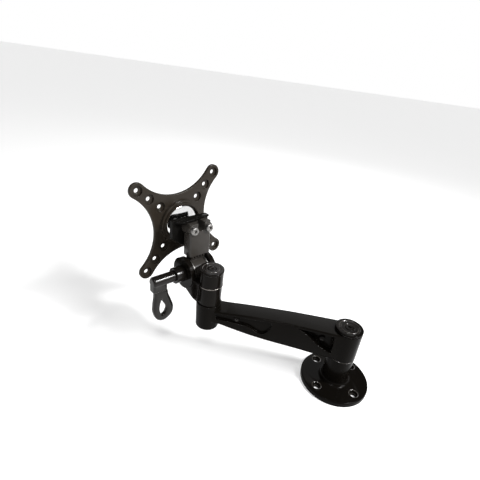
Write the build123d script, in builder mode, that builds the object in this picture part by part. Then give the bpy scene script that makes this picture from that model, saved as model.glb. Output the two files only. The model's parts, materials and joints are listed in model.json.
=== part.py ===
from build123d import *
import math
import os

# ---------------------------------------------------------------- overall sizes (mm)
link = 162.0  # base pivot to head pivot
arm_bottom = 43.0  # underside of both arm knuckles
arm_top = 77.5  # top face of the arm
post_top = 121.5  # top of the cap on the head post
air = 0.35  # gap between faces that turn past each other
running = 0.05  # radial clearance of every turning fit
seat = 0.02  # radial clearance of every fixed fit
clear_bore = 0.8  # radial room around a spindle between its bushes
through = 80.0  # longer than any hole is deep

# base mount
flange_r, flange_t = 40.0, 6.0
flange_pcd, flange_hole_r, flange_sink_r = 60.0, 2.75, 5.2
base_barrel_r = 15.5
washer_inset = 0.8
base_barrel_top = 41.6
base_knuckle_r = 15.7
spindle_r, spindle_sunk = 6.0, 30.0
bush_r = spindle_r + 2.5
bush_len = 12.0

# caps and socket screws
cap_t = 2.8
cap_screw_r, cap_screw_head_r, cap_screw_head_t, cap_screw_len = 3.0, 5.0, 1.6, 16.0
cap_floor = 1.0  # metal left under the screw head
cap_hex = 4.0  # across flats of the socket

# arm
head_knuckle_r, head_knuckle_r_low = 14.9, 13.5
beam_half_base, beam_half_head = 15.0, 12.2
beam_top_head = 72.0  # the beam is lower than its knuckle at the head end
pocket_base, pocket_head = 6.5, 3.25  # depth of the two pockets on each side
top_flange = 3.0
pocket_screw_r, pocket_screw_head_r, pocket_screw_head_t = 2.0, 3.6, 2.0
pocket_screws = (("arm_screw_base", 27.0, 63.0, pocket_base), ("arm_screw_head", 125.5, 66.6, pocket_head))
post_sunk = 24.0  # how far the head spindle is pressed into the arm
plug_t, plug_up = 2.4, 0.6

# neck
neck_r_low, neck_r_high, neck_gap = 13.6, 13.9, 1.2
ring_z, ring_t, ring_r, ring_w = 101.0, 1.1, 14.25, 1.2
ring_open_w, ring_open_y = 60.0, 2.0  # the ring stops where the yoke begins
barrel_r, barrel_len, washer_t = 13.6, 18.4, 1.1
washer_r, disc_r, cradle_r = barrel_r + 1.4, barrel_r + 0.6, barrel_r + 1.8
ear_r, ear_t = cradle_r + 3.0, 5.4
yoke_gap = barrel_len + 4 * washer_t + 1.2  # between the two ears
yoke_shift = -1.5  # middle of the yoke, across the head
tilt_y, tilt_z = neck_r_high + barrel_r + 1.0, 106.1  # tilt axis, ahead of and up the head post
axle_r, axle_cap_r, axle_cap_t = 4.0, 8.5, 4.0
web_lap = 2.5  # the cradle runs this far into each ear

# tilt block and bracket, in the tilting frame
block_l, block_r = -13.4, 14.6  # across the head
block_back, block_front, block_top, lip_z = -6.0, 8.0, 60.0, ear_r + 2.1
barrel_neck = 5.0
lug_bolt_x, lug_bolt_z, lug_bolt_r, lug_bolt_head_r, lug_bolt_head_t = 10.0, 53.0, 2.5, 4.6, 4.6
lug_boss_r, notch_x, notch_up, notch_floor, notch_len = 6.2, 1.0, 1.5, 2.5, 16.0
notch_r = 4.6
rib_w, rib_y, rib_h, rib_pitch = 1.7, 3.6, 3.4, 3.8
socket_flat, socket_deep = 4.0, 2.4
bracket_l, bracket_r = -28.0, 20.0  # the bracket reaches further out on the lever's side
bracket_back, bracket_front, bracket_low = 8.0, 13.0, 29.0
hood_t = 2.2  # sheet over the block and the bolts
pivot_z, pivot_r, hub_r, hub_len = 47.8, 4.0, 9.0, 4.0
bend_x, bend_z, wing_z, wing_r = 11.0, 50.0, 41.0, 3.0  # the bracket narrows below these heights

# screen plate
nut_flat, nut_t = 13.0, 3.6
front_nut_r, front_nut_t, front_nut_sunk, bolt_sunk = 7.5, 2.4, 0.4, 0.6
plate_t, plate_back = 4.0, 33.5
bush_wall, washer_flat = 2.0, 0.8
vesa = (50.0, 37.5, 25.0)  # half of the 100, 75 and 50 mm square patterns
arm_end_r = 9.0
waist_c, waist_r = 90.1, 55.1
vesa_hole_r, vesa_pocket_r, vesa_pocket_t = 2.5, 6.0, 2.4
boss_r1 = 27.0
boss_r2, boss_r3 = boss_r1 - 2.4, boss_r1 - 4.6
boss_step1, boss_step2 = 4.0, 2.6
dome_r, dome_rise, dome_seat = boss_r3 - 1.2, 4.4, 3.0

# clamp lever, across the head from the left ear
collar_r, collar_len = 9.4, 12.0
lever_shaft_r, lever_shaft_len = 6.4, 27.6
handle_drop, handle_t = 55.8, 6.4
elbow_w, elbow_t = 17.6, 11.0
tongue_w, tongue_t, tongue_len = 9.0, 3.2, 5.0  # the elbow's tongue sits in the grip
grip_top, grip_inset = -11.5, 3.4
blind = 1.0  # floor of the collar's bore

# pose the parts are drawn in
head_swivel, head_tilt, plate_roll = -37.46, 2.9, 5.15

os.makedirs("parts", exist_ok=True)
turn = math.radians(head_swivel)
head = Plane(origin=(link, 0, 0), x_dir=(math.sin(turn), -math.cos(turn), 0), z_dir=(0, 0, 1))


def inside(frame, origin, normal=(0, 0, 1), x_dir=(1, 0, 0)):
    """A sketch plane written in the coordinates of a turned frame."""
    return Plane(frame.location * Plane(origin=origin, x_dir=x_dir, z_dir=normal).location)


def across(frame, origin, way=1):
    """A sketch plane square to a frame's X, its own X along the frame's Y."""
    return inside(frame, origin, normal=(way, 0, 0), x_dir=(0, 1, 0))


def ahead(frame, origin, way=1):
    """A sketch plane square to a frame's Y, its own X along the frame's X."""
    return inside(frame, origin, normal=(0, way, 0))


tilt = Plane(inside(head, (0, tilt_y, tilt_z)).location * Location((0, 0, 0), (-head_tilt, 0, 0)))
plate = Plane(ahead(tilt, (0, 0, pivot_z)).location * Location((0, 0, 0), (0, 0, -plate_roll)))
ear_in_l = yoke_shift - yoke_gap / 2
ear_in_r = yoke_shift + yoke_gap / 2


def save(solid, label):
    solid.label = label
    export_step(solid, f"parts/{label}.step")


# ================================================================ base
with BuildPart() as base_mount:
    with BuildSketch():
        Circle(flange_r)
    extrude(amount=flange_t)
    with BuildSketch(Plane.XY.offset(flange_t)):
        Circle(base_barrel_r)
    extrude(amount=base_barrel_top - flange_t)
    seam = base_mount.edges().filter_by(GeomType.CIRCLE).filter_by_position(Axis.Z, flange_t, flange_t)
    fillet(seam.sort_by(SortBy.RADIUS)[0], radius=5)
    rim = base_mount.edges().filter_by(GeomType.CIRCLE).filter_by_position(Axis.Z, flange_t, flange_t)
    fillet(rim.sort_by(SortBy.RADIUS)[-1], radius=1.5)
    with Locations((0, 0, base_barrel_top)):
        Hole(radius=spindle_r + seat, depth=spindle_sunk)
    with Locations((0, 0, flange_t)):
        with PolarLocations(flange_pcd / 2, 4, start_angle=45):
            CounterSinkHole(radius=flange_hole_r, counter_sink_radius=flange_sink_r)
save(base_mount.part, "base_mount")

spindle_foot = base_barrel_top - spindle_sunk
cap_washer_t = 0.85
spindle_head = arm_top + air + cap_washer_t
with BuildPart() as base_spindle:
    with BuildSketch(Plane.XY.offset(spindle_foot)):
        Circle(spindle_r)
    extrude(amount=spindle_head - spindle_foot)
    chamfer(base_spindle.edges().filter_by(GeomType.CIRCLE).sort_by(Axis.Z)[0], length=0.8)
    with Locations((0, 0, spindle_head)):
        Hole(radius=cap_screw_r + seat, depth=cap_screw_len + 4)
save(base_spindle.part, "base_spindle")

with BuildPart() as base_thrust_washer:
    with BuildSketch(Plane.XY.offset(base_barrel_top)):
        Circle(base_barrel_r - washer_inset)
        Circle(spindle_r + seat, mode=Mode.SUBTRACT)
    extrude(amount=arm_bottom - base_barrel_top - air)
save(base_thrust_washer.part, "base_thrust_washer")

base_cap_z = spindle_head
with BuildPart() as base_cap_washer:
    with BuildSketch(Plane.XY.offset(arm_top + air)):
        Circle(base_knuckle_r - washer_inset)
        Circle(spindle_r + seat, mode=Mode.SUBTRACT)
    extrude(amount=base_cap_z - arm_top - air)
save(base_cap_washer.part, "base_cap_washer")


def screw_cap(x, z, r, thick, edge):
    """A round cap with two shallow ring steps and a seat for its socket screw."""
    with BuildPart() as cap:
        with BuildSketch(Plane.XY.offset(z)):
            with Locations((x, 0)):
                Circle(r)
        extrude(amount=thick)
        top = cap.edges().filter_by(GeomType.CIRCLE).sort_by(Axis.Z)[-1]
        fillet(top, radius=edge)
        with BuildSketch(Plane.XY.offset(z + thick)):
            with Locations((x, 0)):
                Circle(r * 0.74)
                Circle(r * 0.62, mode=Mode.SUBTRACT)
        extrude(amount=-0.5, mode=Mode.SUBTRACT)
        with Locations((x, 0, z + thick)):
            CounterBoreHole(
                radius=cap_screw_r + seat,
                counter_bore_radius=cap_screw_head_r + 0.5,
                counter_bore_depth=thick - cap_floor,
            )
    return cap


def socket_screw(x, seat_z, length):
    """A round-headed screw standing on seat_z with a hexagon socket."""
    with BuildPart() as screw:
        with BuildSketch(Plane.XY.offset(seat_z)):
            with Locations((x, 0)):
                Circle(cap_screw_head_r)
        extrude(amount=cap_screw_head_t)
        rim = screw.edges().filter_by(GeomType.CIRCLE).sort_by(Axis.Z)[-1]
        fillet(rim, radius=0.6)
        with BuildSketch(Plane.XY.offset(seat_z + cap_screw_head_t)):
            with Locations((x, 0)):
                RegularPolygon(radius=cap_hex / 2, side_count=6, major_radius=False)
        extrude(amount=-1.2, mode=Mode.SUBTRACT)
        with BuildSketch(Plane.XY.offset(seat_z)):
            with Locations((x, 0)):
                Circle(cap_screw_r)
        extrude(amount=-length)
    return screw


base_cap = screw_cap(0, base_cap_z, base_knuckle_r, cap_t - 0.5, 0.8)
save(base_cap.part, "base_cap")
base_cap_screw = socket_screw(0, base_cap_z + cap_floor, cap_screw_len)
save(base_cap_screw.part, "base_cap_screw")

# ================================================================ arm
knuckle_drop = arm_top - arm_bottom
with BuildPart() as arm_link:
    with BuildSketch(Plane.XZ):
        with BuildLine():
            under = Spline(
                (8, arm_bottom + 0.6), (22, 43.7), (54, 45.4), (93, 47.2), (125, 51.6), (150, 56.6),
            )
            Line(under @ 1, (link, 57.5))
            Line((link, 57.5), (link, beam_top_head))
            over = Spline(
                (link, beam_top_head), (146, 72.4), (120, 74.7), (88, 76.7), (55, arm_top),
                tangents=((-1, 0.02), (-1, 0)),
            )
            Line(over @ 1, (0, arm_top))
            Line((0, arm_top), (0, arm_bottom + 0.6))
            Line((0, arm_bottom + 0.6), under @ 0)
        make_face()
    extrude(amount=18, both=True)
    with BuildSketch():
        with BuildLine():
            near = Spline(
                (0, beam_half_base), (45, 13.6), (85, beam_half_head), (link, beam_half_head),
                tangents=((1, -0.04), (1, 0.0)),
            )
            Line(near @ 1, (link, -beam_half_head))
            far = Spline(
                (link, -beam_half_head), (85, -beam_half_head), (45, -13.6), (0, -beam_half_base),
                tangents=((-1, 0.0), (-1, -0.04)),
            )
            Line(far @ 1, (0, beam_half_base))
        make_face()
    extrude(amount=arm_top + 10, mode=Mode.INTERSECT)
    long_edges = arm_link.edges().filter_by(lambda e: e.length > 100)
    fillet(long_edges, radius=1.6)
    for side in (1, -1):
        with BuildSketch(Plane.XZ.offset(-side * (beam_half_head - pocket_base))):
            with BuildLine():
                low = Spline((15, 51.0), (24, 54.0), (32, 58.5), (39, 64.0), (58, arm_top - top_flange))
                Line(low @ 1, (15, arm_top - top_flange))
                Line((15, arm_top - top_flange), low @ 0)
            make_face()
        extrude(amount=-side * 20, mode=Mode.SUBTRACT)
        with BuildSketch(Plane.XZ.offset(-side * (beam_half_head - pocket_head))):
            with BuildLine():
                low = Spline((150, 62.0), (126, 62.0), (108, 59.5), (95, 54.5), (89, 59), (86, 73.5))
                Line(low @ 1, (150, 69.5))
                Line((150, 69.5), low @ 0)
            make_face()
        extrude(amount=-side * 20, mode=Mode.SUBTRACT)
    with BuildSketch(Plane.XY.offset(arm_bottom)):
        Circle(base_knuckle_r)
    extrude(amount=knuckle_drop)
    with BuildSketch(Plane.XY.offset(arm_bottom)):
        with Locations((link, 0)):
            Circle(head_knuckle_r_low)
    with BuildSketch(Plane.XY.offset(arm_top)):
        with Locations((link, 0)):
            Circle(head_knuckle_r)
    loft()
    low_rims = arm_link.edges().filter_by(GeomType.CIRCLE).group_by(Axis.Z)[0]
    fillet(low_rims.sort_by(Axis.X)[-1], radius=2.4)
    with BuildSketch(Plane.XY.offset(arm_top)):
        Circle(spindle_r + clear_bore)
    extrude(amount=-knuckle_drop, mode=Mode.SUBTRACT)
    for level, way in ((arm_bottom, 1), (arm_top, -1)):
        with BuildSketch(Plane.XY.offset(level)):
            Circle(bush_r + seat)
        extrude(amount=way * bush_len, mode=Mode.SUBTRACT)
    with BuildSketch(Plane.XY.offset(arm_top)):
        with Locations((link, 0)):
            Circle(spindle_r + seat)
    extrude(amount=-post_sunk, mode=Mode.SUBTRACT)
    with BuildSketch(Plane.XY.offset(arm_bottom)):
        with Locations((link, 0)):
            Circle(bush_r + seat)
    extrude(amount=plug_up + plug_t, mode=Mode.SUBTRACT)
    for _, x, z, depth in pocket_screws:
        with BuildSketch(Plane.XZ.offset(-(beam_half_head - depth))):
            with Locations((x, z)):
                Circle(pocket_screw_r + seat)
        extrude(amount=6, mode=Mode.SUBTRACT)
save(arm_link.part, "arm_link")


def sleeve(frame, z, length, outer, inner):
    """A plain round sleeve standing on height z of a frame."""
    with BuildPart() as ring:
        with BuildSketch(inside(frame, (0, 0, z))):
            Circle(outer)
            Circle(inner, mode=Mode.SUBTRACT)
        extrude(amount=length)
    return ring


level = Plane.XY
save(sleeve(level, arm_bottom, bush_len, bush_r, spindle_r + running).part, "base_bush_low")
save(sleeve(level, arm_top - bush_len, bush_len, bush_r, spindle_r + running).part, "base_bush_high")

with BuildPart() as knuckle_plug:
    with BuildSketch(Plane.XY.offset(arm_bottom + plug_up)):
        with Locations((link, 0)):
            Circle(bush_r)
    extrude(amount=plug_t)
    chamfer(knuckle_plug.edges().sort_by(Axis.Z)[0], length=0.5)
save(knuckle_plug.part, "knuckle_plug")

for label, x, z, depth in pocket_screws:
    with BuildPart() as pocket_screw:
        face_y = beam_half_head - depth
        with BuildSketch(Plane.XZ.offset(-face_y)):
            with Locations((x, z)):
                Circle(pocket_screw_head_r)
        extrude(amount=-pocket_screw_head_t)
        fillet(pocket_screw.edges().filter_by(GeomType.CIRCLE).sort_by(Axis.Y)[-1], radius=0.8)
        with BuildSketch(Plane.XZ.offset(-face_y - pocket_screw_head_t)):
            with Locations((x, z)):
                RegularPolygon(radius=1.25, side_count=6, major_radius=False)
        extrude(amount=1.2, mode=Mode.SUBTRACT)
        with BuildSketch(Plane.XZ.offset(-face_y)):
            with Locations((x, z)):
                Circle(pocket_screw_r)
        extrude(amount=5)
    save(pocket_screw.part, label)

# ================================================================ head post
head_cap_z = post_top - cap_t
with BuildPart() as head_spindle:
    with BuildSketch(Plane.XY.offset(arm_top - post_sunk)):
        with Locations((link, 0)):
            Circle(spindle_r)
    extrude(amount=head_cap_z - arm_top + post_sunk)
    with BuildSketch(Plane.XY.offset(head_cap_z)):
        with Locations((link, 0)):
            Circle(cap_screw_r + seat)
    extrude(amount=-cap_screw_len - 4, mode=Mode.SUBTRACT)
save(head_spindle.part, "head_spindle")
post = Plane(origin=(link, 0, 0), x_dir=(1, 0, 0), z_dir=(0, 0, 1))
neck_low = arm_top + neck_gap
thrust_washer = sleeve(post, arm_top, neck_gap - air, neck_r_low - washer_inset, spindle_r + seat)
save(thrust_washer.part, "head_thrust_washer")
head_cap = screw_cap(link, head_cap_z, ring_r, cap_t, 0.9)
save(head_cap.part, "head_cap")
head_cap_screw = socket_screw(link, head_cap_z + cap_floor, cap_screw_len)
save(head_cap_screw.part, "head_cap_screw")

# ================================================================ neck
neck_top = head_cap_z - air
web_l, web_r = ear_in_l - web_lap, ear_in_r + web_lap
with BuildPart() as neck_casting:
    with BuildSketch(inside(head, (0, 0, neck_low))):
        Circle(neck_r_low)
    extrude(amount=ring_z - neck_low)
    with BuildSketch(inside(head, (0, 0, ring_z))):
        Circle(neck_r_high)
    extrude(amount=neck_top - ring_z)
    with BuildSketch(across(head, (web_l, 0, 0))):
        Polygon((2, 80.4), (11, 80.4), (31, 88.0), (39, 92.0), (39, 104.5), (2, 104.5), align=None)
        with Locations((tilt_y, tilt_z)):
            Circle(cradle_r, mode=Mode.SUBTRACT)
    extrude(amount=web_r - web_l)
    for x, way in ((ear_in_l, -1), (ear_in_r, 1)):
        with BuildSketch(across(head, (x, tilt_y, tilt_z), way)):
            Circle(ear_r)
        extrude(amount=ear_t)
    with BuildSketch(inside(head, (0, 0, neck_low))):
        Circle(spindle_r + clear_bore)
    extrude(amount=neck_top - neck_low, mode=Mode.SUBTRACT)
    for z, way in ((neck_low, 1), (neck_top, -1)):
        with BuildSketch(inside(head, (0, 0, z))):
            Circle(bush_r + seat)
        extrude(amount=way * bush_len, mode=Mode.SUBTRACT)
    with BuildSketch(across(head, (-through / 2, tilt_y, tilt_z))):
        Circle(axle_r + seat)
    extrude(amount=through, mode=Mode.SUBTRACT)
    with BuildSketch(inside(head, (0, 0, ring_z))):
        Circle(ring_r + 1)
        Circle(ring_r - ring_w, mode=Mode.SUBTRACT)
        with Locations((0, ring_open_y + 18)):
            Rectangle(ring_open_w, 36, mode=Mode.SUBTRACT)
    extrude(amount=ring_t, mode=Mode.SUBTRACT)
save(neck_casting.part, "neck_casting")

with BuildPart() as neck_ring:
    with BuildSketch(inside(head, (0, 0, ring_z))):
        Circle(ring_r)
        Circle(ring_r - ring_w, mode=Mode.SUBTRACT)
        with Locations((0, ring_open_y + 18)):
            Rectangle(ring_open_w, 36 + 2 * seat, mode=Mode.SUBTRACT)
    extrude(amount=ring_t)
save(neck_ring.part, "neck_ring")
save(sleeve(head, neck_low, bush_len, bush_r, spindle_r + running).part, "neck_bush_low")
save(sleeve(head, neck_top - bush_len, bush_len, bush_r, spindle_r + running).part, "neck_bush_high")

lever_in = ear_in_l - ear_t - air
collar_out = lever_in - collar_len
axle_r_end = ear_in_r + ear_t
with BuildPart() as tilt_axle:
    with BuildSketch(across(head, (axle_r_end, tilt_y, tilt_z), -1)):
        Circle(axle_r)
    extrude(amount=axle_r_end - collar_out - blind)
save(tilt_axle.part, "tilt_axle")

with BuildPart() as axle_cap:
    with BuildSketch(across(head, (axle_r_end, tilt_y, tilt_z))):
        Circle(axle_cap_r)
    extrude(amount=axle_cap_t)
    far_rim = axle_cap.faces().sort_by(Axis(head.origin, head.x_dir))[-1].edges()
    fillet(far_rim, radius=1.8)
save(axle_cap.part, "axle_cap")

# ================================================================ clamp lever
with BuildPart() as lever_collar:
    with BuildSketch(across(head, (lever_in, tilt_y, tilt_z), -1)):
        Circle(collar_r)
        Circle(axle_r + running, mode=Mode.SUBTRACT)
    extrude(amount=collar_len - blind)
    with BuildSketch(across(head, (lever_in - collar_len + blind, tilt_y, tilt_z), -1)):
        Circle(collar_r)
    extrude(amount=blind)
    rims = lever_collar.edges().filter_by(GeomType.CIRCLE).filter_by(lambda e: e.radius > collar_r - 0.1)
    fillet(rims, radius=0.9)
save(lever_collar.part, "lever_collar")

shaft_end = collar_out - lever_shaft_len
elbow_x = shaft_end + elbow_w / 2
grip_x = shaft_end + grip_inset
with BuildPart() as lever_shaft:
    with BuildSketch(across(head, (collar_out, tilt_y, tilt_z), -1)):
        Circle(lever_shaft_r)
    extrude(amount=lever_shaft_len)
    end_rim = lever_shaft.faces().sort_by(Axis(head.origin, head.x_dir))[0].edges()
    fillet(end_rim, radius=2.6)
    with BuildSketch(inside(head, (elbow_x, tilt_y, tilt_z + grip_top))):
        RectangleRounded(elbow_w, elbow_t, 3.0)
    extrude(amount=-grip_top)
    with BuildSketch(inside(head, (elbow_x, tilt_y, tilt_z + grip_top - tongue_len))):
        RectangleRounded(tongue_w, tongue_t, 1.0)
    extrude(amount=tongue_len + 1)
save(lever_shaft.part, "lever_shaft")

with BuildPart() as lever_grip:
    grip_plane = ahead(head, (grip_x, tilt_y + handle_t / 2, tilt_z), -1)
    with BuildSketch(grip_plane):
        with BuildLine():
            outer = Spline(
                (0.0, grip_top), (-0.3, -20), (-1.6, -35), (0.4, -47.5), (11.3, -handle_drop),
                tangents=((0, -1), (1, 0)),
            )
            inner = Spline(
                outer @ 1, (21.6, -50.5), (24.8, -42.0), (21.2, -29), (16.2, -16), (15.4, grip_top),
                tangents=((1, 0), (0, 1)),
            )
            Line(inner @ 1, outer @ 0)
        make_face()
        with BuildLine():
            hole_l = Spline((9.0, -26.0), (6.4, -37), (10.8, -47.4), tangents=((-0.35, -1), (1, 0)))
            Spline(hole_l @ 1, (15.4, -40), (9.0, -26.0), tangents=((1, 0), (-0.45, 1)))
        make_face(mode=Mode.SUBTRACT)
    extrude(amount=handle_t)
    with BuildSketch(inside(head, (elbow_x, tilt_y, tilt_z + grip_top - tongue_len - seat))):
        RectangleRounded(tongue_w + 2 * seat, tongue_t + 2 * seat, 1.0)
    extrude(amount=tongue_len + 1, mode=Mode.SUBTRACT)
save(lever_grip.part, "lever_grip")

# ================================================================ tilt block
barrel_l = yoke_shift - barrel_len / 2
barrel_r_end = yoke_shift + barrel_len / 2
with BuildPart() as tilt_block:
    with BuildSketch(inside(tilt, (0, 0, lip_z))):
        with Locations(((block_l + block_r) / 2, (block_back + block_front) / 2)):
            Rectangle(block_r - block_l, block_front - block_back)
    extrude(amount=block_top - lip_z)
    uprights = tilt_block.edges().filter_by(lambda e: e.length > block_top - lip_z - 1)
    chamfer(uprights, length=1.6)
    with BuildSketch(inside(tilt, (yoke_shift, 0, 0))):
        with Locations((0, (block_back + 3 + barrel_neck) / 2)):
            Rectangle(barrel_len, barrel_neck - block_back - 3)
    extrude(amount=lip_z + 1)
    with BuildSketch(across(tilt, (barrel_l, 0, 0))):
        Circle(barrel_r)
    extrude(amount=barrel_len)
    for side in (-1, 1):
        with BuildSketch(ahead(tilt, (side * lug_bolt_x, block_back, lug_bolt_z))):
            Circle(lug_boss_r)
        extrude(amount=block_front - block_back)
    for n in range(-2, 3):
        with BuildSketch(inside(tilt, (yoke_shift + n * rib_pitch, block_back + 2.0, lip_z - rib_h + 0.2))):
            Rectangle(rib_w, rib_y)
        extrude(amount=rib_h)
    with BuildSketch(ahead(tilt, (notch_x, block_back - 1, lug_bolt_z + notch_up))):
        Circle(notch_r)
        with Locations((0, -notch_len / 2)):
            Rectangle(notch_r * 2, notch_len)
    extrude(amount=block_front - block_back + 1 - notch_floor, mode=Mode.SUBTRACT)
    with BuildSketch(across(tilt, (-through / 2, 0, 0))):
        Circle(axle_r + running)
    extrude(amount=through, mode=Mode.SUBTRACT)
    for side in (-1, 1):
        with BuildSketch(ahead(tilt, (side * lug_bolt_x, block_back - 1, lug_bolt_z))):
            Circle(lug_bolt_r + seat)
        extrude(amount=through, mode=Mode.SUBTRACT)
save(tilt_block.part, "tilt_block")

for side, name in ((-1, "left"), (1, "right")):
    start = yoke_shift + side * barrel_len / 2
    for k, kind, outer in ((0, "tilt_washer", washer_r), (1, "friction_disc", disc_r)):
        with BuildPart() as disc:
            with BuildSketch(across(tilt, (start + side * k * washer_t, 0, 0), side)):
                Circle(outer)
                Circle(axle_r + running, mode=Mode.SUBTRACT)
            extrude(amount=washer_t)
        save(disc.part, f"{kind}_{name}")

# ================================================================ tilt bracket
with BuildPart() as tilt_bracket:
    hood_top = block_top + hood_t
    with BuildSketch(ahead(tilt, (0, bracket_back, 0), -1)):
        with BuildLine():
            Polyline(
                (bracket_l, hood_top), (bracket_l, wing_z), (-bend_x, bracket_low), (bend_x, bracket_low),
                (bracket_r, bend_z), (bracket_r, hood_top), (bracket_l, hood_top),
            )
        make_face()
    extrude(amount=bracket_back - bracket_front)
    with BuildSketch(inside(tilt, (0, 0, block_top))):
        with BuildLine():
            brow = Spline((bracket_l, bracket_front), (-18, 1.2), (-5, 1.0), (7, 3.8), (bracket_r, 6.0))
            Polyline(brow @ 1, (bracket_r, bracket_front), (bracket_l, bracket_front))
        make_face()
    extrude(amount=hood_t)
    bracket_t = bracket_front - bracket_back
    wing_edges = tilt_bracket.edges().filter_by(lambda e: abs(e.length - bracket_t) < 0.01)
    fillet(wing_edges.group_by(Axis(tilt.origin, tilt.x_dir))[0].sort_by(Axis.Z)[0], radius=wing_r)
    with BuildSketch(ahead(tilt, (0, bracket_front, pivot_z))):
        Circle(hub_r)
    extrude(amount=hub_len)
    with BuildSketch(ahead(tilt, (0, bracket_back - 1, pivot_z))):
        Circle(pivot_r + seat)
    extrude(amount=through, mode=Mode.SUBTRACT)
    for side in (-1, 1):
        with BuildSketch(ahead(tilt, (side * lug_bolt_x, bracket_back - 1, lug_bolt_z))):
            Circle(lug_bolt_r + seat)
        extrude(amount=8, mode=Mode.SUBTRACT)
save(tilt_bracket.part, "tilt_bracket")

for side, name in ((-1, "left"), (1, "right")):
    with BuildPart() as lug_bolt:
        with BuildSketch(ahead(tilt, (side * lug_bolt_x, block_back, lug_bolt_z), -1)):
            Circle(lug_bolt_head_r)
        extrude(amount=lug_bolt_head_t)
        crown = lug_bolt.faces().sort_by(Axis(head.origin, head.y_dir))[0]
        fillet(crown.edges(), radius=1.2)
        with BuildSketch(ahead(tilt, (side * lug_bolt_x, block_back - lug_bolt_head_t, lug_bolt_z))):
            RegularPolygon(radius=socket_flat / 2, side_count=6, major_radius=False)
        extrude(amount=socket_deep, mode=Mode.SUBTRACT)
        with BuildSketch(ahead(tilt, (side * lug_bolt_x, block_back, lug_bolt_z))):
            Circle(lug_bolt_r)
        extrude(amount=block_front - block_back + 4)
    save(lug_bolt.part, f"lug_bolt_{name}")

nut_back = bracket_front + hub_len
with BuildPart() as pivot_nut:
    with BuildSketch(ahead(tilt, (0, nut_back, pivot_z))):
        RegularPolygon(radius=nut_flat / 2, side_count=6, major_radius=False)
        Circle(pivot_r + seat, mode=Mode.SUBTRACT)
    extrude(amount=nut_t)
save(pivot_nut.part, "pivot_nut")

plate_front = plate_back + plate_t
with BuildPart() as pivot_bolt:
    with BuildSketch(ahead(tilt, (0, bracket_back, pivot_z))):
        Circle(pivot_r)
    extrude(amount=plate_front - bolt_sunk - bracket_back)
save(pivot_bolt.part, "pivot_bolt")

with BuildPart() as pivot_front_nut:
    with BuildSketch(ahead(tilt, (0, plate_front - front_nut_sunk, pivot_z), -1)):
        Circle(front_nut_r)
        Circle(pivot_r + seat, mode=Mode.SUBTRACT)
    extrude(amount=front_nut_t)
save(pivot_front_nut.part, "pivot_front_nut")


# ================================================================ screen plate
def on_plate(y):
    """The screen plate's own plane at distance y ahead of the tilt axis, facing the screen."""
    return plate.offset(y)


tangent = math.atan2(vesa[0], waist_c - vesa[0])
touch = (vesa[0] + arm_end_r * math.cos(tangent), vesa[0] - arm_end_r * math.sin(tangent))
with BuildPart() as vesa_plate:
    with BuildSketch(on_plate(plate_back)):
        with BuildLine():
            for n in range(4):
                a = math.radians(90 * n)
                c, s = math.cos(a), math.sin(a)
                tip = vesa[0] + arm_end_r / math.sqrt(2)
                p = [(touch[0], touch[1]), (tip, tip), (touch[1], touch[0])]
                q = [(touch[1], touch[0]), (0, waist_c - waist_r), (-touch[1], touch[0])]
                ThreePointArc(*[(x * c - y * s, x * s + y * c) for x, y in p])
                ThreePointArc(*[(x * c - y * s, x * s + y * c) for x, y in q])
        make_face()
    extrude(amount=plate_t)
    rims = vesa_plate.edges().filter_by(GeomType.CIRCLE)
    fillet(rims, radius=0.9)
    with BuildSketch(on_plate(plate_back)):
        Circle(boss_r1)
    extrude(amount=-boss_step1)
    with BuildSketch(on_plate(plate_back - boss_step1)):
        Circle(boss_r2)
    extrude(amount=-boss_step2)
    with BuildSketch(on_plate(plate_back - boss_step1 - boss_step2)):
        Circle(boss_r3)
    extrude(amount=boss_step1 + boss_step2 - dome_seat, mode=Mode.SUBTRACT)
    with BuildSketch(on_plate(plate_back - 1)):
        for reach in vesa:
            with GridLocations(2 * reach, 2 * reach, 2, 2):
                Circle(vesa_hole_r)
    extrude(amount=20, mode=Mode.SUBTRACT)
    with BuildSketch(on_plate(plate_back)):
        for reach in vesa:
            with GridLocations(2 * reach, 2 * reach, 2, 2):
                Circle(vesa_pocket_r)
    extrude(amount=vesa_pocket_t, mode=Mode.SUBTRACT)
    with BuildSketch(on_plate(plate_back - 10)):
        Circle(pivot_r + bush_wall + seat)
    extrude(amount=through, mode=Mode.SUBTRACT)
    with BuildSketch(on_plate(plate_front)):
        Circle(front_nut_r + 0.7)
    extrude(amount=-(front_nut_t + front_nut_sunk + air), mode=Mode.SUBTRACT)
save(vesa_plate.part, "vesa_plate")

dome_base = plate_back - dome_seat
with BuildPart() as dome_washer:
    ball = (dome_r**2 + dome_rise**2) / (2 * dome_rise)
    with BuildSketch(across(tilt, (0, 0, pivot_z))):
        with BuildLine():
            edge_y = dome_base - washer_flat
            ThreePointArc(
                (edge_y, dome_r),
                (edge_y - dome_rise + ball - math.sqrt(ball**2 - (dome_r / 2) ** 2), dome_r / 2),
                (edge_y - dome_rise, 0),
            )
            Polyline((edge_y - dome_rise, 0), (dome_base, 0), (dome_base, dome_r), (edge_y, dome_r))
        make_face()
    revolve(axis=Axis(inside(tilt, (0, 0, pivot_z)).origin, tilt.y_dir), revolution_arc=360)
    with BuildSketch(ahead(tilt, (0, 0, pivot_z))):
        Circle(pivot_r + running)
    extrude(amount=through, mode=Mode.SUBTRACT)
save(dome_washer.part, "dome_washer")

with BuildPart() as pivot_bush:
    with BuildSketch(ahead(tilt, (0, dome_base, pivot_z))):
        Circle(pivot_r + bush_wall)
        Circle(pivot_r + running, mode=Mode.SUBTRACT)
    extrude(amount=plate_front - front_nut_t - front_nut_sunk - air - dome_base)
save(pivot_bush.part, "pivot_bush")
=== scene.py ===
"""Looks for the pivoting monitor arm: finishes, smooth outer skins, floor, lights and camera.

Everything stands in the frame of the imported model, in metres. Each body of the arm has a class that
builds its pieces and dresses them, and main() runs those classes from the base out to the clamp lever.
"""

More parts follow.
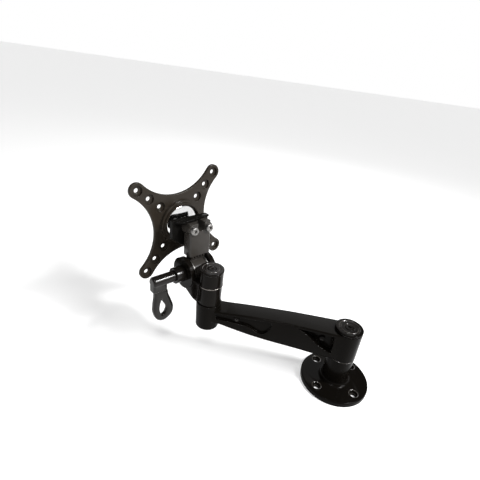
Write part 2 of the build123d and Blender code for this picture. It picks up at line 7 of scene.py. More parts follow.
import json
import logging
import math
from dataclasses import dataclass, field
from enum import Enum
from typing import Dict, List, Sequence, Tuple

import bmesh
import bpy
import numpy as np
from mathutils import Matrix, Vector


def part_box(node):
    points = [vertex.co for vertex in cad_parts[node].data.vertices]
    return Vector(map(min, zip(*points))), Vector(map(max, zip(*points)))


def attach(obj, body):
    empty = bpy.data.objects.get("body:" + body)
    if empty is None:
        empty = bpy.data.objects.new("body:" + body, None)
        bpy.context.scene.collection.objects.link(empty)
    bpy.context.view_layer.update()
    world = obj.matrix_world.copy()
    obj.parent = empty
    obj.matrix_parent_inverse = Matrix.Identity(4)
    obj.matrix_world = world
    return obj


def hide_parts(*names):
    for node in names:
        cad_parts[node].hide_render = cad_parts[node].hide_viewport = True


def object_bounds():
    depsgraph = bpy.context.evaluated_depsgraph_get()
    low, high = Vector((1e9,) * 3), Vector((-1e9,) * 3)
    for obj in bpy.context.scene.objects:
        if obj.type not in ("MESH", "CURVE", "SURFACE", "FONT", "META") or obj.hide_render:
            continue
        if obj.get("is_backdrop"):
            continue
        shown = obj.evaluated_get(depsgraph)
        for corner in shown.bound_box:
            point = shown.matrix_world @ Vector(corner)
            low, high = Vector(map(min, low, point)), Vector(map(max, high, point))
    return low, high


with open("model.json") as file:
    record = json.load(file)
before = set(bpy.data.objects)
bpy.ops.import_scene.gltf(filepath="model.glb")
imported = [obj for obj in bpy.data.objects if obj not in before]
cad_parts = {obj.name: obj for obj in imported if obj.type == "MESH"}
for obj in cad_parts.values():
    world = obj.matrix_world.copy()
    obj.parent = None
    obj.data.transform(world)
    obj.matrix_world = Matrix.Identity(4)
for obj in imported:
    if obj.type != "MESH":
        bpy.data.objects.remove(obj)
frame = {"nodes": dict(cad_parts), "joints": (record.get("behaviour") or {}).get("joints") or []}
logging.basicConfig(level=logging.INFO, format="%(name)s: %(message)s")
log = logging.getLogger("monitor_arm")

MM = 0.001
JOIN_DISTANCE = 1e-6
Colour = Tuple[float, float, float]


# ------------------------------------------------------------------ finishes
BROAD_CELLS, BROAD_DETAIL = 45.0, 3.0  # the mottle: cells per metre, and finer layers
FINE_DETAIL = 4.0  # finer layers of the relief
TINT_ENDS = (0.3, 0.7)  # noise values at the dark and the light end of the mottle
LEAST_ROUGHNESS = 0.02
BUMP_HEIGHT = 0.0002  # in metres


def grey(value: float, warmth: float = 0.0) -> Colour:
    """A linear grey, a little redder and less blue when warmth is above 0.

    Args:
        value: Linear brightness from 0 to 1.
        warmth: Share of the value that moves from blue to red.

    Returns:
        The linear red, green and blue.
    """
    return (value * (1 + warmth), value, value * (1 - warmth))


@dataclass(frozen=True)
class Finish:
    """A surface finish: a shader whose colour, roughness and fine relief vary over the piece.

    Attributes:
        name: Material name.
        colour: Linear base colour.
        metallic: 0 for paint and plastic, 1 for bare or plated metal.
        roughness: Middle roughness.
        spread: How far the roughness wanders each way.
        mottle: Share by which the colour wanders.
        grain: Size of the relief's grains, in metres.
        relief: Strength of the relief.
        specular: Level of the plain reflection, 0.5 for an ordinary paint.
        brushed: Stretch of the grains along one direction, 1 for none.
    """

    name: str
    colour: Colour
    metallic: float = 0.0
    roughness: float = 0.4
    spread: float = 0.05
    mottle: float = 0.08
    grain: float = 0.0007
    relief: float = 0.05
    specular: float = 0.5
    brushed: float = 1.0

    def material(self) -> bpy.types.Material:
        """Builds the material once and hands out the same one after that.

        Returns:
            The procedural material.
        """
        found = bpy.data.materials.get(self.name)
        if found is not None:
            return found
        mat = bpy.data.materials.new(self.name)
        mat.use_nodes = True
        nodes, links = mat.node_tree.nodes, mat.node_tree.links
        shader = nodes["Principled BSDF"]
        shader.inputs["Metallic"].default_value = self.metallic
        shader.inputs["Specular IOR Level"].default_value = self.specular
        where = nodes.new("ShaderNodeTexCoord")
        stretch = nodes.new("ShaderNodeMapping")
        stretch.inputs["Scale"].default_value = (1.0, 1.0, self.brushed)
        links.new(where.outputs["Object"], stretch.inputs["Vector"])
        broad = self._noise(mat.node_tree, stretch, BROAD_CELLS, BROAD_DETAIL)
        fine = self._noise(mat.node_tree, stretch, 1.0 / self.grain, FINE_DETAIL)
        tint = nodes.new("ShaderNodeValToRGB")
        low, high = tint.color_ramp.elements
        low.position, high.position = TINT_ENDS
        low.color = (*[c * (1 - self.mottle) for c in self.colour], 1)
        high.color = (*[min(1, c * (1 + self.mottle)) for c in self.colour], 1)
        links.new(broad.outputs["Fac"], tint.inputs["Fac"])
        links.new(tint.outputs["Color"], shader.inputs["Base Color"])
        rough = nodes.new("ShaderNodeMapRange")
        rough.inputs["To Min"].default_value = max(LEAST_ROUGHNESS, self.roughness - self.spread)
        rough.inputs["To Max"].default_value = self.roughness + self.spread
        links.new(fine.outputs["Fac"], rough.inputs["Value"])
        links.new(rough.outputs["Result"], shader.inputs["Roughness"])
        bump = nodes.new("ShaderNodeBump")
        bump.inputs["Strength"].default_value = self.relief
        bump.inputs["Distance"].default_value = BUMP_HEIGHT
        links.new(fine.outputs["Fac"], bump.inputs["Height"])
        links.new(bump.outputs["Normal"], shader.inputs["Normal"])
        return mat

    @staticmethod
    def _noise(
        tree: bpy.types.NodeTree, source: bpy.types.Node, scale: float, detail: float
    ) -> bpy.types.Node:
        """Adds one noise texture fed by the source's vector.

        Args:
            tree: The material's node tree.
            source: The node that gives the coordinates.
            scale: Noise cells per metre.
            detail: Number of finer layers.

        Returns:
            The noise node.
        """
        noise = tree.nodes.new("ShaderNodeTexNoise")
        noise.inputs["Scale"].default_value = scale
        noise.inputs["Detail"].default_value = detail
        tree.links.new(source.outputs["Vector"], noise.inputs["Vector"])
        return noise


class Finishes(Enum):
    """The finishes of this arm, in paint, plated metal and plastic."""

    ARM_COAT = Finish("arm_gloss_coat", grey(0.0028, 0.2), roughness=0.16, relief=0.03, specular=0.035)
    NECK_COAT = Finish(
        "neck_gloss_coat", grey(0.0035, 0.22), roughness=0.16, relief=0.03, specular=0.07
    )
    PLATE_COAT = Finish(
        "plate_satin_coat", grey(0.015, 0.25), roughness=0.22, relief=0.05, specular=0.16
    )
    BRACKET_COAT = Finish(
        "bracket_gloss_coat", grey(0.0028, 0.12), roughness=0.2, relief=0.04, specular=0.035
    )
    BLOCK_COAT = Finish(
        "tilt_block_satin_coat", grey(0.024, 0.12), roughness=0.24, relief=0.05, specular=0.25
    )
    LEVER_COAT = Finish(
        "lever_gloss_coat", grey(0.0045, 0.18), roughness=0.15, relief=0.03, specular=0.22
    )
    # Edge finish for the coats' eased corners: a lighter colour than the coats, which is a painted
    # highlight, together with a real higher gloss.
    HIGHLIGHT_RIM = Finish("painted_highlight_edge", grey(0.03, 0.16), roughness=0.16, relief=0.03, specular=0.9)
    MIRROR = Finish(
        "mirror_plate", grey(0.82), metallic=1.0, roughness=0.1,
        spread=0.03, mottle=0.02, grain=0.002, relief=0.01,
    )
    BLUED = Finish(
        "blued_spring_steel", grey(0.14, 0.08), metallic=1.0, roughness=0.26,
        spread=0.06, mottle=0.04, grain=0.0008, relief=0.03,
    )
    DULL_PLATE = Finish(
        "dull_zinc_plate", grey(0.24, 0.03), metallic=1.0, roughness=0.38,
        spread=0.08, mottle=0.08, grain=0.0006, relief=0.05,
    )
    TURNED_STEEL = Finish(
        "turned_steel", grey(0.5), metallic=1.0, roughness=0.28,
        spread=0.08, mottle=0.04, grain=0.0004, relief=0.05, brushed=12.0,
    )
    ACETAL = Finish("black_acetal", grey(0.014), roughness=0.5, relief=0.02, specular=0.3)


COATS = (
    Finishes.ARM_COAT,
    Finishes.NECK_COAT,
    Finishes.PLATE_COAT,
    Finishes.BRACKET_COAT,
    Finishes.LEVER_COAT,
)  # the painted finishes whose eased corners take a lighter, glossier edge finish: a painted highlight along each edge, partly real gloss


# ------------------------------------------------------------------ surface makers
CORNER_STEPS = 6  # points on each rounded corner of an outline
CORNER_SHARE = 0.48  # most of a side that one rounded corner takes
FLAT_ANGLE, SMOOTH_ANGLE, CORNER_ANGLE = (math.radians(v) for v in (0.4, 32.0, 35.0))
CORNER_FACES = 2  # faces across each eased corner


@dataclass(frozen=True)
class Axes:
    """A right-handed set of axes at a point of the model's frame.

    Attributes:
        origin: The point.
        x: First axis.
        y: Second axis.
        z: Third axis.
    """

    origin: np.ndarray
    x: np.ndarray
    y: np.ndarray
    z: np.ndarray

    @classmethod
    def along(cls, origin: Sequence[float], z: Sequence[float], x: Sequence[float]) -> "Axes":
        """Axes with z along one direction and x as near as can be to another.

        Args:
            origin: The point.
            z: Direction of the third axis.
            x: Rough direction of the first axis.

        Returns:
            The axes.
        """
        up = np.array(z, float) / np.linalg.norm(z)
        side = np.array(x, float) - up * np.dot(x, up)
        side /= np.linalg.norm(side)
        return cls(np.array(origin, float), side, np.cross(up, side), up)

    def place(self, x: np.ndarray, y: np.ndarray, z: np.ndarray) -> np.ndarray:
        """Points of the model's frame from coordinates on these axes.

        Args:
            x: Coordinates along x.
            y: Coordinates along y.
            z: Coordinates along z.

        Returns:
            An array with a last side of three.
        """
        return self.origin + x[..., None] * self.x + y[..., None] * self.y + z[..., None] * self.z


def grid_mesh(name: str, points: np.ndarray, wrap_u: bool, wrap_v: bool) -> bpy.types.Object:
    """A mesh of quads over a grid of points.

    Args:
        name: Name of the object.
        points: Grid of shape (u, v, 3).
        wrap_u: Whether the last row joins the first.
        wrap_v: Whether the last column joins the first.

    Returns:
        The new object, smooth shaded and with its normals outwards.
    """
    rows, columns = points.shape[:2]
    index = np.arange(rows * columns).reshape(rows, columns)
    next_u = np.roll(index, -1, 0)
    next_v = np.roll(index, -1, 1)
    next_uv = np.roll(next_u, -1, 1)
    quads = np.stack([index, next_u, next_uv, next_v], -1)
    quads = quads[: rows if wrap_u else rows - 1, : columns if wrap_v else columns - 1].reshape(-1, 4)
    mesh = bpy.data.meshes.new(name)
    mesh.from_pydata(points.reshape(-1, 3).tolist(), [], quads.tolist())
    tool = bmesh.new()
    tool.from_mesh(mesh)
    bmesh.ops.remove_doubles(tool, verts=tool.verts, dist=JOIN_DISTANCE)
    bmesh.ops.recalc_face_normals(tool, faces=tool.faces)
    tool.to_mesh(mesh)
    tool.free()
    mesh.polygons.foreach_set("use_smooth", np.ones(len(mesh.polygons), bool))
    piece = bpy.data.objects.new(name, mesh)
    bpy.context.scene.collection.objects.link(piece)
    return piece


def turned(
    name: str, axes: Axes, profile: Sequence[Tuple[float, float]], steps: int
) -> bpy.types.Object:
    """A turned piece: radius r and height h of the profile at (r cos a, r sin a, h), a over a full turn.

    Args:
        name: Name of the object.
        axes: Axes with z along the turning axis.
        profile: Pairs of radius and height, in metres.
        steps: Number of steps round the axis.

    Returns:
        The new object.
    """
    radius, height = np.array(profile, float).T
    angle = np.linspace(0, 2 * math.pi, steps, endpoint=False)
    x = radius[:, None] * np.cos(angle)[None, :]
    y = radius[:, None] * np.sin(angle)[None, :]
    z = np.repeat(height[:, None], steps, 1)
    return grid_mesh(name, axes.place(x, y, z), False, True)


def rounded_corners(points: Sequence[Tuple[float, float]], radius: float) -> List[Tuple[float, float]]:
    """An open outline whose inner corners are rounded by quadratic curves that end a radius away.

    Args:
        points: Corners of the outline.
        radius: Distance from each corner to the ends of its curve, less where a side is short.

    Returns:
        The rounded outline.
    """
    corners = np.array(points, float)
    out = [tuple(corners[0])]
    for before, here, after in zip(corners[:-2], corners[1:-1], corners[2:]):
        back, ahead = before - here, after - here
        reach = min(radius, CORNER_SHARE * np.linalg.norm(back), CORNER_SHARE * np.linalg.norm(ahead))
        start = here + back / np.linalg.norm(back) * reach
        end = here + ahead / np.linalg.norm(ahead) * reach
        for t in np.linspace(0, 1, CORNER_STEPS):
            out.append(tuple((1 - t) ** 2 * start + 2 * t * (1 - t) * here + t**2 * end))
    out.append(tuple(corners[-1]))
    return out


def soft_power(wave: np.ndarray, power: float) -> np.ndarray:
    """The wave's size raised to a power with its sign kept: below 1 it squares a circle off.

    Args:
        wave: Values from -1 to 1.
        power: The power.

    Returns:
        The squared-off values.
    """
    return np.sign(wave) * np.abs(wave) ** power


def closed_curve(points: Sequence[Tuple[float, float]], steps: int) -> np.ndarray:
    """A smooth closed curve through points: Catmull-Rom cubics whose slope is half the step past a point.

    Args:
        points: Points in order round the curve.
        steps: Points of the result between two given ones.

    Returns:
        An array of shape (points times steps, 2).
    """
    p = np.array(points, float)
    slope = (np.roll(p, -1, 0) - np.roll(p, 1, 0)) / 2
    ahead, slope_ahead = np.roll(p, -1, 0), np.roll(slope, -1, 0)
    t = np.linspace(0, 1, steps, endpoint=False)[None, :, None]
    curve = (
        (2 * t**3 - 3 * t**2 + 1) * p[:, None]
        + (t**3 - 2 * t**2 + t) * slope[:, None]
        + (3 * t**2 - 2 * t**3) * ahead[:, None]
        + (t**3 - t**2) * slope_ahead[:, None]
    )
    return curve.reshape(-1, 2)


def span(node: str, origin: np.ndarray, direction: np.ndarray) -> Tuple[float, float]:
    """How far a CAD node reaches along a direction.

    Args:
        node: Name of the node.
        origin: Point that the distances start from.
        direction: Unit direction.

    Returns:
        Nearest and farthest distance, in metres.
    """
    thing = frame["nodes"][node]
    points = np.empty(len(thing.data.vertices) * 3)
    thing.data.vertices.foreach_get("co", points)
    to_model = np.array(thing.matrix_world)
    placed = points.reshape(-1, 3) @ to_model[:3, :3].T + to_model[:3, 3]
    reach = (placed - origin) @ direction
    return float(reach.min()), float(reach.max())


def eased_copy(node: str, width: float, rim: int) -> bpy.types.Object:
    """A copy of a CAD node with its corners eased, standing in for the node.

    The copy's triangles are joined, its flat faces are made whole, and a bevel rounds what is sharper
    than the joint between two facets of a curved wall.

    Args:
        node: Name of the CAD node.
        width: Width of the eased corners, in metres.
        rim: Material slot that the eased corners take, 0 for the faces' own; slot 1 holds the lighter,
            glossier edge finish, a painted highlight.

    Returns:
        The copy.
    """
    source = frame["nodes"][node]
    mesh = source.data.copy()
    tool = bmesh.new()
    tool.from_mesh(mesh)
    bmesh.ops.remove_doubles(tool, verts=tool.verts, dist=JOIN_DISTANCE)
    bmesh.ops.dissolve_limit(
        tool, angle_limit=FLAT_ANGLE, verts=tool.verts, edges=tool.edges, delimit={"NORMAL"}
    )
    tool.to_mesh(mesh)
    tool.free()
    mesh.materials.clear()
    mesh.polygons.foreach_set("use_smooth", np.ones(len(mesh.polygons), bool))
    piece = bpy.data.objects.new(f"{node}_skin", mesh)
    bpy.context.scene.collection.objects.link(piece)
    mesh.set_sharp_from_angle(angle=SMOOTH_ANGLE)
    bevel = piece.modifiers.new("eased_corners", "BEVEL")
    bevel.width = width
    bevel.segments = CORNER_FACES
    bevel.material = rim
    bevel.limit_method = "ANGLE"
    bevel.angle_limit = CORNER_ANGLE
    return piece


# ------------------------------------------------------------------ sub-assemblies
@dataclass
class SubAssembly:
    """One body of the arm.

    Attributes:
        body: Name of the CAD body that the pieces move with.
        eased: CAD nodes shown as eased copies, with the width of their corners in millimetres.
        finishes: Finish of each node of this body.
    """

    body: str
    eased: Dict[str, float] = field(default_factory=dict)
    finishes: Dict[str, Finishes] = field(default_factory=dict)

    def joint(self, name: str) -> Dict[str, object]:
        """The record's joint of that name.

        Args:
            name: Name of the joint.

        Returns:
            The joint as the record states it.
        """
        return next(j for j in frame["joints"] if j["name"] == name)

    def adopt(self, piece: bpy.types.Object, node: str) -> bpy.types.Object:
        """Makes a new piece stand for a CAD node: it rides on this body and wears the node's finish.

        Args:
            piece: The new piece.
            node: Name of the CAD node.

        Returns:
            The piece.
        """
        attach(piece, self.body)
        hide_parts(node)
        self.dress(piece, self.finishes[node])
        log.info("%s: %s stands for %s", self.body, piece.name, node)
        return piece

    def dress(self, piece: bpy.types.Object, finish: Finishes) -> None:
        """Gives a piece one finish.

        Args:
            piece: The piece.
            finish: Its finish.
        """
        piece.data.materials.clear()
        piece.data.materials.append(finish.value.material())

    def build(self) -> None:
        """Makes the eased copies and repaints the nodes that are shown as they are."""
        for node, width in self.eased.items():
            coated = self.finishes[node] in COATS
            piece = self.adopt(eased_copy(node, width * MM, int(coated)), node)
            # coats take the edge finish on their eased corners: a lighter, glossier colour that paints a
            # highlight along each edge
            if coated:
                piece.data.materials.append(Finishes.HIGHLIGHT_RIM.value.material())
        for node, finish in self.finishes.items():
            if node not in self.eased and node not in self.made():
                self.dress(frame["nodes"][node], finish)
                log.info("%s: %s keeps its own mesh", self.body, node)

    def made(self) -> Tuple[str, ...]:
        """Names of the CAD nodes that this body's own surfaces stand for."""
        return ()


@dataclass
class Base(SubAssembly):
    """The bolt-down foot with its spindle, cap and screw."""

    body: str = "base"
    eased: Dict[str, float] = field(
        default_factory=lambda: {"base_mount": 0.8, "base_cap": 0.4, "base_cap_screw": 0.2}
    )
    finishes: Dict[str, Finishes] = field(
        default_factory=lambda: {
            "base_mount": Finishes.ARM_COAT,
            "base_cap": Finishes.ARM_COAT,
            "base_cap_screw": Finishes.ARM_COAT,
            "base_spindle": Finishes.TURNED_STEEL,
            "base_thrust_washer": Finishes.ACETAL,
            "base_cap_washer": Finishes.ACETAL,
        }
    )


@dataclass
class Arm(SubAssembly):
    """The cast link with what is pressed and screwed into it."""

    body: str = "arm"
    eased: Dict[str, float] = field(
        default_factory=lambda: {
            "arm_link": 0.9,
            "head_cap": 0.4,
            "head_cap_screw": 0.2,
            "arm_screw_base": 0.2,
            "arm_screw_head": 0.2,
            "knuckle_plug": 0.2,
        }
    )
    finishes: Dict[str, Finishes] = field(
        default_factory=lambda: {
            "arm_link": Finishes.ARM_COAT,
            "head_cap": Finishes.NECK_COAT,
            "head_cap_screw": Finishes.ARM_COAT,
            "arm_screw_base": Finishes.ARM_COAT,
            "arm_screw_head": Finishes.ARM_COAT,
            "knuckle_plug": Finishes.ACETAL,
            "base_bush_low": Finishes.ACETAL,
            "base_bush_high": Finishes.ACETAL,
            "head_spindle": Finishes.TURNED_STEEL,
            "head_thrust_washer": Finishes.BLUED,
        }
    )


@dataclass
class Neck(SubAssembly):
    """The head post with its web, round ears, snap ring and tilt axle."""

    body: str = "neck"
    eased: Dict[str, float] = field(
        default_factory=lambda: {"neck_casting": 0.9, "axle_cap": 0.3, "neck_ring": 0.2}
    )
    finishes: Dict[str, Finishes] = field(
        default_factory=lambda: {
            "neck_casting": Finishes.NECK_COAT,
            "neck_ring": Finishes.BLUED,
            "axle_cap": Finishes.ARM_COAT,
            "neck_bush_low": Finishes.ACETAL,
            "neck_bush_high": Finishes.ACETAL,
            "tilt_axle": Finishes.TURNED_STEEL,
        }
    )


@dataclass
class TiltHead(SubAssembly):
    """The tilt block on its barrel, with its washers, bolts, bracket and pivot."""

    body: str = "tilt_head"
    eased: Dict[str, float] = field(
        default_factory=lambda: {
            "tilt_block": 0.9,
            "tilt_bracket": 0.4,
            "tilt_washer_left": 0.2,
            "tilt_washer_right": 0.2,
            "friction_disc_left": 0.2,
            "friction_disc_right": 0.2,
            "lug_bolt_left": 0.3,
            "lug_bolt_right": 0.3,
            "pivot_nut": 0.4,
        }
    )
    finishes: Dict[str, Finishes] = field(
        default_factory=lambda: {
            "tilt_block": Finishes.BLOCK_COAT,
            "tilt_bracket": Finishes.BRACKET_COAT,
            "tilt_washer_left": Finishes.DULL_PLATE,
            "tilt_washer_right": Finishes.DULL_PLATE,
            "friction_disc_left": Finishes.ACETAL,
            "friction_disc_right": Finishes.ACETAL,
            "lug_bolt_left": Finishes.DULL_PLATE,
            "lug_bolt_right": Finishes.DULL_PLATE,
            "pivot_nut": Finishes.DULL_PLATE,
            "pivot_bolt": Finishes.TURNED_STEEL,
            "pivot_front_nut": Finishes.DULL_PLATE,
        }
    )


@dataclass
class ScreenPlate(SubAssembly):
    """The X-shaped plate with its domed washer and bush.

    Attributes:
        dome_lip: Radius of the rounding round the dome's edge, in millimetres.
        dome_hole: Radius of the dome's hole, in millimetres.
        dome_flat: Height of the dome's straight edge, in millimetres.
        dome_rings: Rings of points between the dome's edge and its hole.
        dome_steps: Steps round the dome.
    """

    body: str = "screen_plate"
    dome_lip: float = 0.5
    dome_hole: float = 4.1
    dome_flat: float = 0.8
    dome_rings: int = 28
    dome_steps: int = 128
    eased: Dict[str, float] = field(default_factory=lambda: {"vesa_plate": 0.8})
    finishes: Dict[str, Finishes] = field(
        default_factory=lambda: {
            "vesa_plate": Finishes.PLATE_COAT,
            "dome_washer": Finishes.MIRROR,
            "pivot_bush": Finishes.ACETAL,
        }
    )

    def made(self) -> Tuple[str, ...]:
        """Names of the CAD nodes that this body's own surfaces stand for."""
        return ("dome_washer",)

    def build(self) -> None:
        """Makes the plate's eased copy and the domed washer."""
        super().build()
        self.adopt(self.dome(), "dome_washer")

    def dome(self) -> bpy.types.Object:
        """The domed washer, turned about the plate's axis.

        Its height at radius r is rise (1 - (r / rim)^2), from a flat back with a short straight edge.

        Returns:
            The new object.
        """
        turn = self.joint("plate_turn")
        out, origin = np.array(turn["axis"], float), np.array(turn["pos_m"], float)
        near, far = span("dome_washer", origin, out)
        rim = max(span("dome_washer", origin, np.array((0.0, 0.0, 1.0)) - out * out[2]))
        rim /= math.sqrt(1 - out[2] ** 2)
        hole, flat, lip = self.dome_hole * MM, self.dome_flat * MM, self.dome_lip * MM
        r = np.linspace(rim - lip, hole, self.dome_rings)
        rise = far - near - flat
        crown = [(float(v), near + rise * (float(v) / rim) ** 2) for v in r]
        edge = rounded_corners([(hole, far), (rim, far), (rim, crown[0][1] + lip), crown[0]], lip)
        profile = edge + crown[1:] + [(hole, far)]
        return turned("domed_washer", Axes.along(origin, out, (0, 0, 1)), profile, self.dome_steps)


@dataclass
class ClampLever(SubAssembly):
    """The clamp lever: its collar, elbow shaft and looped grip.

    Attributes:
        grip_t: Half thickness of the grip, in millimetres.
        square_across: Power of the cosine across the loop.
        square_out: Power of the sine out of it.
        loop_steps: Sections of the grip between two pairs of rims.
        section_steps: Points round each section.
        rims: Outer and inner points of the grip's loop in pairs, as millimetres in from its edge and up.
    """

    body: str = "clamp_lever"
    grip_t: float = 3.2
    square_across: float = 0.62
    square_out: float = 0.55
    loop_steps: int = 12
    section_steps: int = 40
    rims: Tuple[Tuple[Tuple[float, float], Tuple[float, float]], ...] = (
        ((0.3, -11.6), (8.0, -28.4)),
        ((7.7, -11.2), (9.0, -26.2)),
        ((15.1, -11.6), (10.2, -28.4)),
        ((17.6, -20.0), (12.2, -32.0)),
        ((21.4, -29.5), (14.2, -35.6)),
        ((24.6, -40.0), (15.3, -40.2)),
        ((22.6, -49.6), (13.8, -45.2)),
        ((12.4, -55.6), (10.9, -47.3)),
        ((3.2, -51.4), (8.2, -44.8)),
        ((-1.2, -41.0), (6.7, -39.6)),
        ((-1.4, -31.0), (6.6, -35.2)),
        ((-0.3, -20.0), (7.2, -31.4)),
    )
    eased: Dict[str, float] = field(default_factory=lambda: {"lever_collar": 0.5, "lever_shaft": 1.1})
    finishes: Dict[str, Finishes] = field(
        default_factory=lambda: {
            "lever_collar": Finishes.LEVER_COAT,
            "lever_shaft": Finishes.LEVER_COAT,
            "lever_grip": Finishes.LEVER_COAT,
        }
    )

    def made(self) -> Tuple[str, ...]:
        """Names of the CAD nodes that this body's own surfaces stand for."""
        return ("lever_grip",)

    def build(self) -> None:
        """Makes the eased copies of the collar and the shaft, and the grip."""
        super().build()
        turn = self.joint("lever_turn")
        out, origin = np.array(turn["axis"], float), np.array(turn["pos_m"], float)
        axes = Axes.along(origin, (0, 0, 1), out)
        self.adopt(self.grip(axes, span("lever_grip", origin, out)[1]), "lever_grip")

    def grip(self, axes: Axes, outer: float) -> bpy.types.Object:
        """The looped grip: a squared-off ring section carried round between the loop's two rims.

        With M the middle of a rim pair, H half the step from the inner to the outer rim and t the half
        thickness, the point at v is M + H |cos v|^square_across across the loop and t |sin v|^square_out
        out of it, each with the sign of its cosine or sine.

        Args:
            axes: Axes with x outwards along the lever's axis and z up.
            outer: The grip's outer face, along x.

        Returns:
            The new object.
        """
        outline = closed_curve([pair[0] for pair in self.rims], self.loop_steps)
        opening = closed_curve([pair[1] for pair in self.rims], self.loop_steps)
        edge = outer + min(point[0] for point, _ in self.rims) * MM
        v = np.linspace(0, 2 * math.pi, self.section_steps, endpoint=False)
        across = soft_power(np.cos(v), self.square_across)
        out_of = soft_power(np.sin(v), self.square_out)
        middle, half = (outline + opening) / 2, (outline - opening) / 2
        flat = middle[:, None] + half[:, None] * across[None, :, None]
        side = np.repeat(out_of[None] * self.grip_t * MM, len(flat), 0)
        points = axes.place(edge - flat[..., 0] * MM, side, flat[..., 1] * MM)
        return grid_mesh("looped_grip", points, True, True)


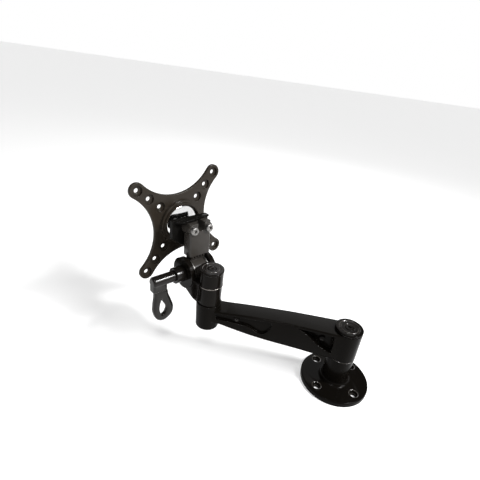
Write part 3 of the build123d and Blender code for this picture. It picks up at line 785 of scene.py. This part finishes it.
# ------------------------------------------------------------------ studio
@dataclass
class Studio:
    """Floor, lights and camera. The lamps hang at places measured from the top of the head post.

    Attributes:
        floor_size: Side of the floor, in metres.
        floor_colour: Linear brightness of the floor.
        floor_roughness: Roughness of the floor.
        horizon_top: Sine of the height up to which the surroundings are white.
        horizon_fade: Rise of that sine over which they dim.
        sky: Brightness of the surroundings above that.
        overhead: Brightness straight above.
        overhead_ends: Sines of the heights where that patch starts and where it is full.
        sun_power: Strength of the soft sun.
        sun_angle: Width of the soft sun, in degrees.
        sun_way: Direction in which the sunlight travels.
        glow: Brightness that the floor adds by itself, so that it stays pale in the shadows.
        lamps: Name, place in metres, side in metres and power in watts of each square lamp.
        eye: Camera position, measured from the top of the head post, in metres.
        heading: Camera's turn about the vertical, in degrees, 0 looking along +Y.
        pitch: How far the camera looks down, in degrees.
        roll: How far the camera leans, in degrees.
        lens: Focal length for a 36 mm wide sensor, in millimetres.
    """

    floor_size: float = 12.0
    floor_colour: float = 0.82
    floor_roughness: float = 0.9
    horizon_top: float = 0.24
    horizon_fade: float = 0.12
    sky: float = 0.08
    overhead: float = 0.4
    overhead_ends: Tuple[float, float] = (0.8, 0.95)
    sun_power: float = 2.3
    sun_angle: float = 24.0
    sun_way: Tuple[float, float, float] = (0.85, -0.25, -0.65)
    glow: float = 0.3
    lamps: Tuple[Tuple[str, Colour, float, float], ...] = (
        ("key_lamp", (-0.56, 0.04, 0.56), 0.09, 5.0),
        ("fill_lamp", (-0.05, 0.42, 0.62), 0.12, 1.6),
        ("back_lamp", (-0.1, -0.8, 0.55), 0.6, 2.6),
    )
    eye: Tuple[float, float, float] = (-0.0683, 0.3388, 0.2165)
    heading: float = 173.02
    pitch: float = 27.17
    roll: float = -7.61
    lens: float = 27.36

    def build(self) -> None:
        """Makes the floor, the surroundings, the lamps and the camera."""
        self.floor()
        self.surroundings()
        self.sun()
        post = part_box("head_cap")
        top = Vector(((post[0].x + post[1].x) / 2, (post[0].y + post[1].y) / 2, post[1].z))
        for name, place, size, power in self.lamps:
            self.lamp(name, top + Vector(place), top, size, power)
        self.camera(top)
        log.info("studio: floor, lamps and camera are set")

    def floor(self) -> None:
        """A pale square floor under the lowest point of the object."""
        low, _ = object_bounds()
        half = self.floor_size / 2
        corners = [(x * half, y * half, low[2]) for x, y in ((-1, -1), (1, -1), (1, 1), (-1, 1))]
        mesh = bpy.data.meshes.new("floor")
        mesh.from_pydata(corners, [], [(0, 1, 2, 3)])
        ground = bpy.data.objects.new("floor", mesh)
        bpy.context.scene.collection.objects.link(ground)
        mat = bpy.data.materials.new("pale_floor")
        mat.use_nodes = True
        shader = mat.node_tree.nodes["Principled BSDF"]
        shader.inputs["Base Color"].default_value = (*[self.floor_colour] * 3, 1)
        shader.inputs["Roughness"].default_value = self.floor_roughness
        shader.inputs["Emission Color"].default_value = (1, 1, 1, 1)
        shader.inputs["Emission Strength"].default_value = self.glow
        mesh.materials.append(mat)
        ground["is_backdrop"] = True

    def surroundings(self) -> None:
        """Surroundings: white near the horizon, dimmer above, with a soft brighter patch overhead."""
        world = bpy.data.worlds.new("studio")
        bpy.context.scene.world = world
        world.use_nodes = True
        nodes, links = world.node_tree.nodes, world.node_tree.links
        back = nodes["Background"]
        where = nodes.new("ShaderNodeTexCoord")
        height = nodes.new("ShaderNodeSeparateXYZ")
        links.new(where.outputs["Generated"], height.inputs["Vector"])
        shade = nodes.new("ShaderNodeValToRGB")
        shade.color_ramp.interpolation = "EASE"
        low, high = shade.color_ramp.elements
        low.position, low.color = self.horizon_top, (1, 1, 1, 1)
        high.position, high.color = self.horizon_top + self.horizon_fade, (*[self.sky] * 3, 1)
        for place, value in zip(self.overhead_ends, (self.sky, self.overhead)):
            shade.color_ramp.elements.new(place).color = (value, value, value, 1)
        links.new(height.outputs["Z"], shade.inputs["Fac"])
        links.new(shade.outputs["Color"], back.inputs["Color"])
        back.inputs["Strength"].default_value = 1.0
        bpy.context.scene.view_settings.view_transform = "Standard"

    def sun(self) -> None:
        """A wide soft sun that keeps the floor pale and its shadows faint."""
        data = bpy.data.lights.new("soft_sun", "SUN")
        data.energy, data.angle = self.sun_power, math.radians(self.sun_angle)
        lamp = bpy.data.objects.new("soft_sun", data)
        lamp.rotation_euler = Vector(self.sun_way).to_track_quat("-Z", "Y").to_euler()
        bpy.context.scene.collection.objects.link(lamp)

    def lamp(self, name: str, place: Vector, target: Vector, size: float, power: float) -> None:
        """A square area lamp that faces a point.

        Args:
            name: Name of the lamp.
            place: Where it hangs.
            target: The point that it faces.
            size: Side of the square, in metres.
            power: Power in watts.
        """
        data = bpy.data.lights.new(name, "AREA")
        data.shape, data.size, data.energy = "SQUARE", size, power
        lamp = bpy.data.objects.new(name, data)
        lamp.location = place
        lamp.rotation_euler = (target - place).to_track_quat("-Z", "Y").to_euler()
        bpy.context.scene.collection.objects.link(lamp)

    def camera(self, top: Vector) -> None:
        """The camera, aimed by its heading, pitch and roll.

        Args:
            top: Top of the head post.
        """
        data = bpy.data.cameras.new("camera")
        data.sensor_width = 36
        data.lens = self.lens
        data.clip_start = 0.01
        turn = Matrix.Rotation(math.radians(-self.heading), 4, "Z")
        tip = Matrix.Rotation(math.radians(90 - self.pitch), 4, "X")
        lean = Matrix.Rotation(math.radians(-self.roll), 4, "Z")
        eye = bpy.data.objects.new("camera", data)
        eye.matrix_world = Matrix.Translation(top + Vector(self.eye)) @ turn @ tip @ lean
        bpy.context.scene.collection.objects.link(eye)
        bpy.context.scene.camera = eye


def corner_lists(box: Tuple[Sequence[float], Sequence[float]]) -> List[List[float]]:
    """A box's two corners as plain lists.

    Args:
        box: Lowest and highest corner.

    Returns:
        Both corners as lists of floats.
    """
    return [[float(v) for v in corner] for corner in box]


def main(before: List[List[float]]) -> None:
    """Builds every sub-assembly and the studio.

    Args:
        before: The object's box as it was loaded; not used.
    """
    for part in (Base(), Arm(), Neck(), TiltHead(), ScreenPlate(), ClampLever()):
        part.build()
        log.info("%s is built", part.body)
    Studio().build()


if __name__ == "__main__":
    main(corner_lists(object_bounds()))
